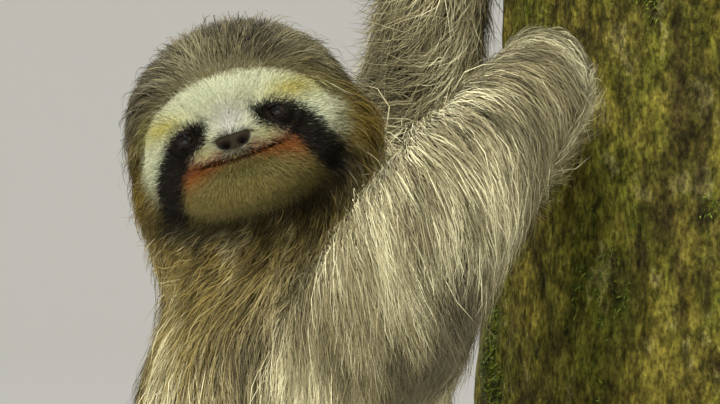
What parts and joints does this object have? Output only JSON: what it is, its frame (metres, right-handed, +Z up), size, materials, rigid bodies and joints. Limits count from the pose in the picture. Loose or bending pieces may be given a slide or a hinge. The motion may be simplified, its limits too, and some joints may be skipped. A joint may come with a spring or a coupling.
{
  "type": "three-toed sloth",
  "caption": "Life-size brown-throated three-toed sloth clinging to a cut length of tree trunk, its head turned back over its shoulder, on a plain round display stand.",
  "frame": {"origin": "centre of the underside of the stand's base, on the floor", "axes": "+Z up; the sloth's face looks towards -Y and a little towards -X, and the tree trunk leans slightly towards +X"},
  "size_m": [0.48, 0.48, 0.96],
  "materials": {
    "coat": "long coarse matte fur",
    "eye": "wet gloss",
    "claw": "horn, satin",
    "bark": "rough mossy bark",
    "stand_wood": "dark satin",
    "stand_steel": "brushed"
  },
  "bodies": {
    "root": {"stand_base": "stand_wood", "stand_rod_1": "stand_steel", "stand_rod_2": "stand_steel", "perch_trunk": "bark", "head": "coat", "eye_left": "eye", "eye_right": "eye", "neck": "coat", "torso": "coat", "tail": "coat", "upper_arm_left": "coat", "upper_arm_right": "coat", "forearm_left": "coat", "forearm_right": "coat", "hand_left": "coat", "hand_right": "coat", "thigh_left": "coat", "thigh_right": "coat", "shank_left": "coat", "shank_right": "coat", "foot_left": "coat", "foot_right": "coat", "claw_hand_left_1": "claw", "claw_hand_left_2": "claw", "claw_hand_left_3": "claw", "claw_hand_right_1": "claw", "claw_hand_right_2": "claw", "claw_hand_right_3": "claw", "claw_foot_left_1": "claw", "claw_foot_left_2": "claw", "claw_foot_left_3": "claw", "claw_foot_right_1": "claw", "claw_foot_right_2": "claw", "claw_foot_right_3": "claw"}
  },
  "joints": []
}
